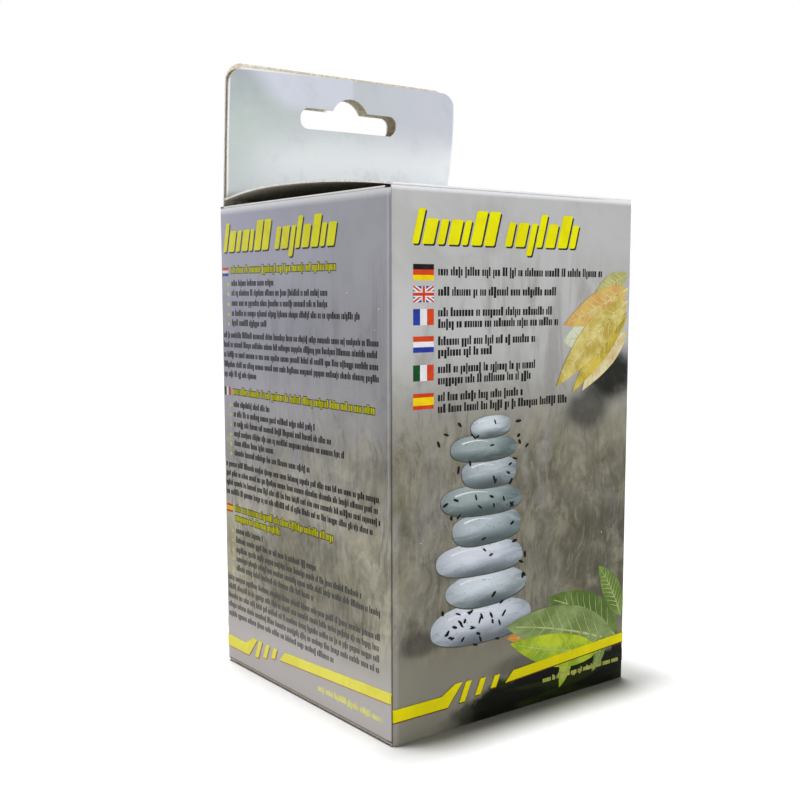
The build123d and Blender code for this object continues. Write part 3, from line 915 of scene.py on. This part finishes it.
def layLeaves(name, side, leaves, tones, veinTone):
    sheet = Print(name, side, tones + [veinTone])
    for n, leaf in enumerate(leaves):
        layer = 1 + 2 * (n % 4) + n // 4  # so that leaves that cross don't share a height
        sheet.patch(leafOutline(leaf), leaf["tone"], layer)
        for line in leafVeins(leaf):
            sheet.patch(line, len(tones), layer + 0.8)
    sheet.lay()


wetStone = {"uneven": 0.03, "square": 2.5, "steps": 36,
            "below": (66, 76, 78), "round": (80, 92, 94), "speckle": (88, 98, 100),
            "glow": ((-0.30, -0.60), (1.5, 1.5)),  # place and half size, in half sizes of the stone
            "under": ((0.1, 1.2), (1.6, 1.2)), "ends": ((0, 0), (1.25, 3.0))}


def stoneOutline(stone, seed):
    rng = random.Random(seed)
    uneven = wetStone["uneven"]
    waves = [(k, rng.uniform(-uneven, uneven), rng.uniform(0, 2 * math.pi)) for k in (2, 3, 4)]
    return wavyOutline(stone["centre"], stone["size"], (1.0, stone["turn"]), waves,
                       wetStone["steps"], wetStone["square"])


def stoneInk(name, side, stone):  # smooth wet stone, lit from the upper left
    f = Finish(name)
    (u, v), (wide, high) = stone["centre"], stone["size"]
    glow, under, ends = (
        f.spot(side.at(u + wide * x, v + high * y), side.spread(wide * a, high * b))
        for (x, y), (a, b) in (wetStone[part] for part in ("glow", "under", "ends")))
    clouds = f.noise(1.0, 6, 0.62, 0.6, f.stretched((0.12, 0.12, 0.45)))
    speckle = f.noise(1.5, 3, 0.6)
    base = f.mix(glow, stone["dark"], stone["light"])
    base = f.mix(f.fade(clouds, 0.46, 0.60, 0, 0.40), base, stone["cloud"])
    base = f.mix(under * 0.80, base, wetStone["below"])
    base = f.mix((1 - ends) * 0.45, base, wetStone["round"])
    base = f.mix(f.fade(speckle, 0.64, 0.69, 0, 0.5), base, wetStone["speckle"])
    return inkFinish(f, base)


def layStones(name, side, stones, shift=(0.0, 0.0), scale=1.0):
    placed = []
    for stone in stones:
        (u, v), (wide, high) = stone["centre"], stone["size"]
        placed.append(dict(stone, centre=(shift[0] + u * scale, shift[1] + v * scale),
                           size=(wide * scale, high * scale)))
    tones = [stoneInk(name + "_tone_%d" % n, side, stone) for n, stone in enumerate(placed)]
    sheet = Print(name, side, tones + [inks["white"], inks["stone_shade"]])
    for n, stone in enumerate(placed):
        (u, v), (wide, high) = stone["centre"], stone["size"]
        outline = stoneOutline(stone, n)
        layer = 1 + 0.9 * (len(placed) - n)  # each stone lies in front of the one below it
        sheet.patch(moved(outline, 0.0, 0.35 * scale), len(tones) + 1, layer)
        sheet.patch(outline, n, layer + 0.4)
        shine = [(u + wide * (0.8 * t - 0.66), v - high * (0.46 + 0.16 * math.sin(math.pi * t)))
                 for t in (0, 0.25, 0.5, 0.75, 1.0)]
        sheet.patch(strip(shine, high * 0.12), len(tones), layer + 0.7)
    sheet.lay()


def laySeeds(name, side, field, count, seed):  # dark seeds strewn over the stones
    rng = random.Random(seed)
    sheet = Print(name, side, [inks["black"]])
    (lowU, lowV), (highU, highV) = field
    for n in range(count):
        u, v = rng.uniform(lowU, highU), lowV + (highV - lowV) * rng.random() ** 1.2
        turn = rng.uniform(0, math.pi)
        sheet.patch(oval(u, v, rng.uniform(0.55, 0.95), rng.uniform(0.22, 0.36), turn, 8), 0, 10)
    sheet.lay()


def layDust(name, side, places):
    sheet = Print(name, side, [inks["white"]])
    for n, (u, v, size) in enumerate(places):
        sheet.patch(oval(u, v, size, size * 0.7, n, 7, 0.1, n))
    sheet.lay()


# Front: headline, six flags with lines of words, leaves, stones and the band
frontFlags = [(16.9, "blackRedGold"), (21.6, "crosses"), (26.5, "blueWhiteRed"),
              (32.4, "redWhiteBlue"), (38.6, "greenWhiteRed"), (44.8, "redGoldRed")]
frontWords = [(12.8, end, v) for end, v in (
    (64.5, 19.3), (49.0, 23.7), (47.5, 28.2), (50.0, 30.7), (42.8, 34.5),
    (28.6, 36.9), (42.3, 40.6), (41.2, 43.1), (38.5, 46.8), (53.0, 49.4))]
leafColumns = ("root", "length", "width", "angle", "bend", "tone")


def leavesFrom(rows):
    return [dict(zip(leafColumns, row)) for row in rows]


def leafInks(rows):
    return [ink(name + "_leaf_ink", *look) for name, *look in rows]


spray = leavesFrom([
    ((73.8, 30.0), 23, 11.0, 196, -10, 0), ((73.8, 18.5), 15, 5.0, 200, 20, 3),
    ((73.8, 22.0), 24, 7.5, 205, -8, 2), ((73.9, 25.0), 32, 8.0, 214, 12, 1),
    ((73.9, 33.0), 21, 6.0, 214, 16, 4), ((73.9, 28.0), 27, 5.5, 222, 6, 5)])
sprayInks = leafInks([
    ("pale", (212, 218, 196), (186, 196, 168), 0.18, (1.0, 1.0, 0.4)),
    ("cream", (222, 208, 132), (186, 164, 72), 0.22), ("amber", (210, 158, 92), (214, 190, 110), 0.25),
    ("olive", (164, 168, 98), (190, 190, 128), 0.25), ("straw", (226, 218, 176), (206, 176, 120), 0.22),
    ("golden", (214, 190, 74), (168, 150, 56), 0.25)])
stoneTones = [{"light": (206, 216, 224), "dark": (142, 156, 160), "cloud": (222, 228, 234)},
              {"light": (158, 172, 172), "dark": (96, 112, 112), "cloud": (176, 188, 190)},
              {"light": (176, 188, 194), "dark": (118, 132, 136), "cloud": (206, 214, 222)},
              {"light": (212, 218, 228), "dark": (162, 170, 182), "cloud": (226, 230, 238)}]
stonePile = [  # centre, half size, turn and tone, from the top one down
    ((28.4, 53.4), (6.2, 2.4), -0.04, 0), ((26.2, 58.2), (9.8, 3.0), 0.03, 1),
    ((28.2, 64.0), (8.6, 3.4), -0.03, 2), ((25.8, 70.2), (12.2, 3.5), 0.03, 1),
    ((27.6, 76.8), (10.8, 3.8), -0.02, 2), ((25.6, 83.8), (13.4, 3.9), 0.02, 3),
    ((27.6, 91.0), (12.4, 4.1), -0.02, 0), ((26.2, 99.0), (15.6, 4.8), 0.01, 3)]
stones = [dict(stoneTones[tone], centre=centre, size=size, turn=turn)
          for centre, size, turn, tone in stonePile]
greenery = leavesFrom([
    ((73.0, 112.0), 30, 11.0, 138, 26, 1), ((73.8, 106.0), 17, 6.5, 112, 20, 3),
    ((72.0, 112.5), 40, 13.0, 158, 14, 0), ((66.0, 113.5), 32, 8.5, 172, -12, 2),
    ((50.0, 109.5), 17, 5.0, 152, 24, 4), ((55.0, 110.0), 11.0, 4.2, 262, -20, 2),
    ((68.0, 110.0), 10.0, 3.6, 250, -16, 3)])
greeneryInks = leafInks([
    ("sage", (146, 164, 108), (112, 130, 74), 0.16, (0.5, 1.0, 1.0)),
    ("moss", (112, 134, 72), (84, 108, 50), 0.2), ("lime", (190, 206, 44), (140, 168, 44), 0.2),
    ("fern", (132, 156, 84), (98, 122, 58), 0.2), ("orange", (212, 128, 56), (196, 150, 70), 0.3)])
sprayVein = ink("spray_vein_ink", (232, 224, 168), (204, 186, 110))
greenVein = ink("green_vein_ink", (196, 206, 140), (160, 178, 104))

layHeadline("front_headline", front, 5.5, 56.5, 12.6, 7.6)
layWords("front_words", front, frontWords, 1.42, 20)
layFlags("front_flags", front, 5.9, frontFlags, 5.7, 3.5)
layLeaves("front_spray", front, spray, sprayInks, sprayVein)
layStones("front_stones", front, stones)
laySeeds("front_seeds", front, ((12.5, 52.0), (40.5, 98.0)), 46, 8)
laySeeds("front_seed_heap", front, ((15.0, 97.5), (33.0, 105.0)), 20, 9)
layLeaves("front_greenery", front, greenery, greeneryInks, greenVein)
layBand("front_band", front, 117.3, 17.0, 33.5)
layWords("front_small_words", front, [(46.0, 73.0, 118.0)], 0.95, 51, "pale_yellow", "carton", 9)
layDust("front_dust", front, [(31.0, 10.0, 0.16), (66.0, 83.0, 0.18), (8.0, 78.0, 0.15)])
print("front printed")

# Left side: three blocks of heading, bulleted lines and a paragraph
leftBlocks = [
    {"heading": [(54.5, 17.9)], "flag": (16.4, "redWhiteBlue"),
     "lines": [(27, 21.2), (51, 23.7), (51, 26.3), (63.5, 28.9), (23.5, 31.4)],
     "paragraph": [(70.8, 34.6), (71, 37.1), (70.5, 39.7), (71, 42.3), (18, 44.8)]},
    {"heading": [(69, 49.4)], "flag": (47.6, "greenWhiteRed"),
     "lines": [(24.5, 52.7), (45, 55.3), (52.5, 57.9), (57, 60.5), (26, 63.0), (43, 65.6)],
     "paragraph": [(71, 68.8), (70.6, 71.3), (71, 73.8), (68, 76.3)]},
    {"heading": [(53.5, 80.6), (29, 83.2)], "flag": (79.0, "redGoldRed"),
     "lines": [(20, 86.5), (45, 89.1), (63.5, 91.7), (71, 94.2), (44, 96.7)],
     "paragraph": [(71, 99.8), (70.4, 102.3), (71, 104.8), (70.6, 107.3), (52, 109.8)]}]
rowStarts = {"heading": 5.4, "lines": 5.6, "paragraph": 1.0}


def layBlocks(name, side, blocks, seed, tone="black"):
    rows = {part: [(start, end, v) for block in blocks for end, v in block[part]]
            for part, start in rowStarts.items()}
    layFlags(name + "_flags", side, 0.9, [block["flag"] for block in blocks], 3.2, 2.2)
    layHeadings(name + "_headings", side, rows["heading"], 1.35, seed)
    layWords(name + "_lines", side, rows["lines"], 1.18, seed + 20, tone)
    layWords(name + "_paragraphs", side, rows["paragraph"], 1.15, seed + 60, tone)
    layBullets(name + "_bullets", side, 3.9, [v for start, end, v in rows["lines"]], 0.42)


layHeadline("left_headline", left, 1.6, 56.0, 12.4, 7.4)
layBlocks("left", left, leftBlocks, 100, "fading_black")
layBand("left_band", left, 118.4, 13.0, 27.5, "hazy_band", "hazy_edge")
layWords("left_small_words", left, [(45.0, 72.0, 118.4)], 1.1, 52, "hazy_words")
layDust("left_dust", left, [
    (58.5, 23.0, 0.22), (70.5, 26.5, 0.24), (69.0, 31.0, 0.16), (30.5, 46.8, 0.2)])
print("left side printed")

# Right side: the same three kinds of block, in another order
rightBlocks = [
    {"heading": [(58.0, 17.9)], "flag": (16.4, "crosses"),
     "lines": [(31, 21.2), (47, 23.7), (55, 26.3), (40, 28.9)],
     "paragraph": [(71, 32.6), (70, 35.1), (71, 37.7), (70.5, 40.3), (33, 42.8)]},
    {"heading": [(62, 48.4)], "flag": (46.6, "blackRedGold"),
     "lines": [(34, 51.7), (52, 54.3), (44, 56.9), (61, 59.5), (29, 62.0)],
     "paragraph": [(71, 65.8), (70.6, 68.3), (71, 70.8), (70, 73.3), (24, 75.9)]},
    {"heading": [(49.5, 81.6)], "flag": (80.0, "blueWhiteRed"),
     "lines": [(26, 85.0), (42, 87.6), (58.5, 90.2), (50, 92.7)],
     "paragraph": [(71, 96.4), (70.4, 98.9), (71, 101.5), (70.6, 104.0), (47, 106.6)]}]
layHeadline("right_headline", right, 1.6, 52.5, 12.4, 7.4)
layBlocks("right", right, rightBlocks, 200)
layBand("right_band", right, 118.0, 13.0, 27.5)
layWords("right_small_words", right, [(45.0, 72.0, 118.4)], 1.1, 53, "pale_yellow")
layDust("right_dust", right, [(64.0, 21.0, 0.2), (12.5, 78.5, 0.18)])
print("right side printed")

# Back: headline, a smaller pile of stones with leaves, lines of words and a bare white label field
backLeaves = leavesFrom([
    ((17.0, 109.0), 26, 8.5, 50, -20, 0), ((17.0, 109.0), 22, 7.0, 96, 18, 1),
    ((18.0, 109.5), 24, 6.5, 22, 14, 2), ((16.0, 109.5), 15, 4.5, 136, 10, 4)])
backVein = ink("back_vein_ink", (196, 206, 140), (160, 178, 104))
backWords = [(6.0, end, v) for end, v in (
    (60, 21.0), (66, 24.0), (63, 27.0), (38, 30.0), (68, 35.0), (66, 38.0), (69, 41.0), (52, 44.0))]
labelField = {"place": (8.0, 52.0), "size": (27.0, 16.0), "frame": 0.35}
layHeadline("back_headline", back, 6.0, 57.0, 12.6, 7.6)
layWords("back_words", back, backWords, 1.35, 300)
layStones("back_stones", back, stones, (33.0, 30.0), 0.78)
laySeeds("back_seeds", back, ((43.0, 71.0), (64.5, 106.0)), 30, 12)
layLeaves("back_leaves", back, backLeaves, greeneryInks, backVein)
layBand("back_band", back, 117.3, 17.0, 33.5)


def layLabelField():
    sheet = Print("back_label_field", back, [inks["title_shade"], inks["white"]])
    (u, v), (wide, high), rim = labelField["place"], labelField["size"], labelField["frame"]
    sheet.patch(rectangle(u - rim, v - rim, wide + 2 * rim, high + 2 * rim))
    sheet.patch(rectangle(u, v, wide, high), 1, 2)
    sheet.lay()


layLabelField()
print("back printed")

# Lid and bottom
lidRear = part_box("top_lid")[1].y / mm
lid = LidSide("lid", (-half, lidRear, cartonTop), (1, 0, 0), (0, 0, 1))
bottom = Side("bottom", (-half, -half, 0.0), (1, 0, 0), (0, 0, -1))
layHeadline("lid_headline", lid, 12.0, 63.0, 38.5, 7.4, "lid")
layWords("lid_words", lid, [(16.0, 60.0, 45.5), (22.0, 53.0, 48.6)], 1.35, 70, body="lid")


printMarks = {"tones": ("blue", "red", "gold", "black"), "start": 24.0, "step": 9.0, "size": 2.2}


def layPrintMarks():  # the printer's colour patches on the bottom
    sheet = Print("bottom_print_marks", bottom, [inks[tone] for tone in printMarks["tones"]])
    for n in range(len(printMarks["tones"])):
        u = printMarks["start"] + printMarks["step"] * n
        sheet.patch(oval(u, 14.0, printMarks["size"], printMarks["size"], 0, 24), n, 0.5)
    sheet.lay("bottom")


layPrintMarks()
layWords("bottom_words", bottom, [(20.0, 56.0, 22.0), (27.0, 49.0, 25.0)], 1.3, 80,
         body="bottom", layer=0.5)
print("lid and bottom printed")

# Camera, lights and floor
view = {"place": (-178.07, -226.23, 99.49), "right": (0.7971, -0.6038, -0.0014),
        "ahead": (0.5997, 0.7920, -0.1146), "focus": 1109.9, "rise": 21.98,
        "image": 800, "sensor": 36.0}


def setCamera():
    cam = bpy.data.cameras.new("camera")
    cam.sensor_width = view["sensor"]
    cam.lens = view["focus"] / view["image"] * view["sensor"]
    cam.shift_y = view["rise"] / view["image"]
    cam.clip_start = 0.01
    holder = added("camera", cam)
    back = -Vector(view["ahead"]).normalized()
    right = Vector(view["right"])
    right = (right - right.dot(back) * back).normalized()
    up = back.cross(right)
    turn = Matrix((right, up, back)).transposed().to_4x4()
    holder.matrix_world = Matrix.Translation(Vector(view["place"]) * mm) @ turn
    bpy.context.scene.camera = holder


lamps = [  # name, where it shines from, strength and softness in degrees
    ("key_left", (-0.078, 0.074, 0.99), 2.3, 6.3), ("key_right", (0.028, 0.074, 0.99), 2.0, 6.3),
    ("front_fill", (0.30, -0.95, 0.01), 3.5, 14), ("left_fill", (-0.97, 0.22, 0.01), 1.15, 14),
    ("right_fill", (0.97, 0.22, 0.01), 1.6, 14), ("back_fill", (-0.15, 0.98, 0.01), 1.8, 14)]
sky = {"seen": 1.0, "lighting": 0.06}  # white behind the object, but dim as a light
floorPaper = {"reach": 6, "drop": 0.0001, "light": (255, 255, 255), "dark": (253, 253, 254)}


def setStage():
    reach = floorPaper["reach"]
    mesh = bpy.data.meshes.new("floor")
    corners = [(-reach, -reach, 0), (reach, -reach, 0), (reach, reach, 0), (-reach, reach, 0)]
    mesh.from_pydata(corners, [], [(0, 1, 2, 3)])
    floor = added("floor", mesh)
    floor.location.z = -floorPaper["drop"]
    f = Finish("floor_paper")
    tooth = f.noise(0.4, 3, 0.6)
    tone = f.mix(f.fade(tooth, 0.3, 0.7), floorPaper["light"], floorPaper["dark"])
    rough = f.fade(tooth, 0.3, 0.7, 0.8, 0.9)
    mesh.materials.append(f.finish({"Specular IOR Level": 0.0}, tone, rough))
    world = bpy.data.worlds.new("studio")
    bpy.context.scene.world = world
    world.use_nodes = True
    s = Nodes(world.node_tree)
    seen = s.node("ShaderNodeLightPath", {}, {}, "Is Camera Ray")
    strength = sky["lighting"] + seen * (sky["seen"] - sky["lighting"])
    glow = s.node("ShaderNodeBackground", {}, {"Color": (1.0, 1.0, 1.0, 1.0), "Strength": strength})
    s.tree.links.new(glow.socket, s.tree.nodes.new("ShaderNodeOutputWorld").inputs["Surface"])
    for name, source, strength, softness in lamps:
        sun = bpy.data.lights.new(name, "SUN")
        sun.energy = strength
        sun.angle = math.radians(softness)
        added(name, sun).rotation_euler = Vector(source).to_track_quat("Z", "Y").to_euler()
    bpy.context.scene.view_settings.view_transform = "Standard"


setCamera()
setStage()
print("camera, lights and floor set")
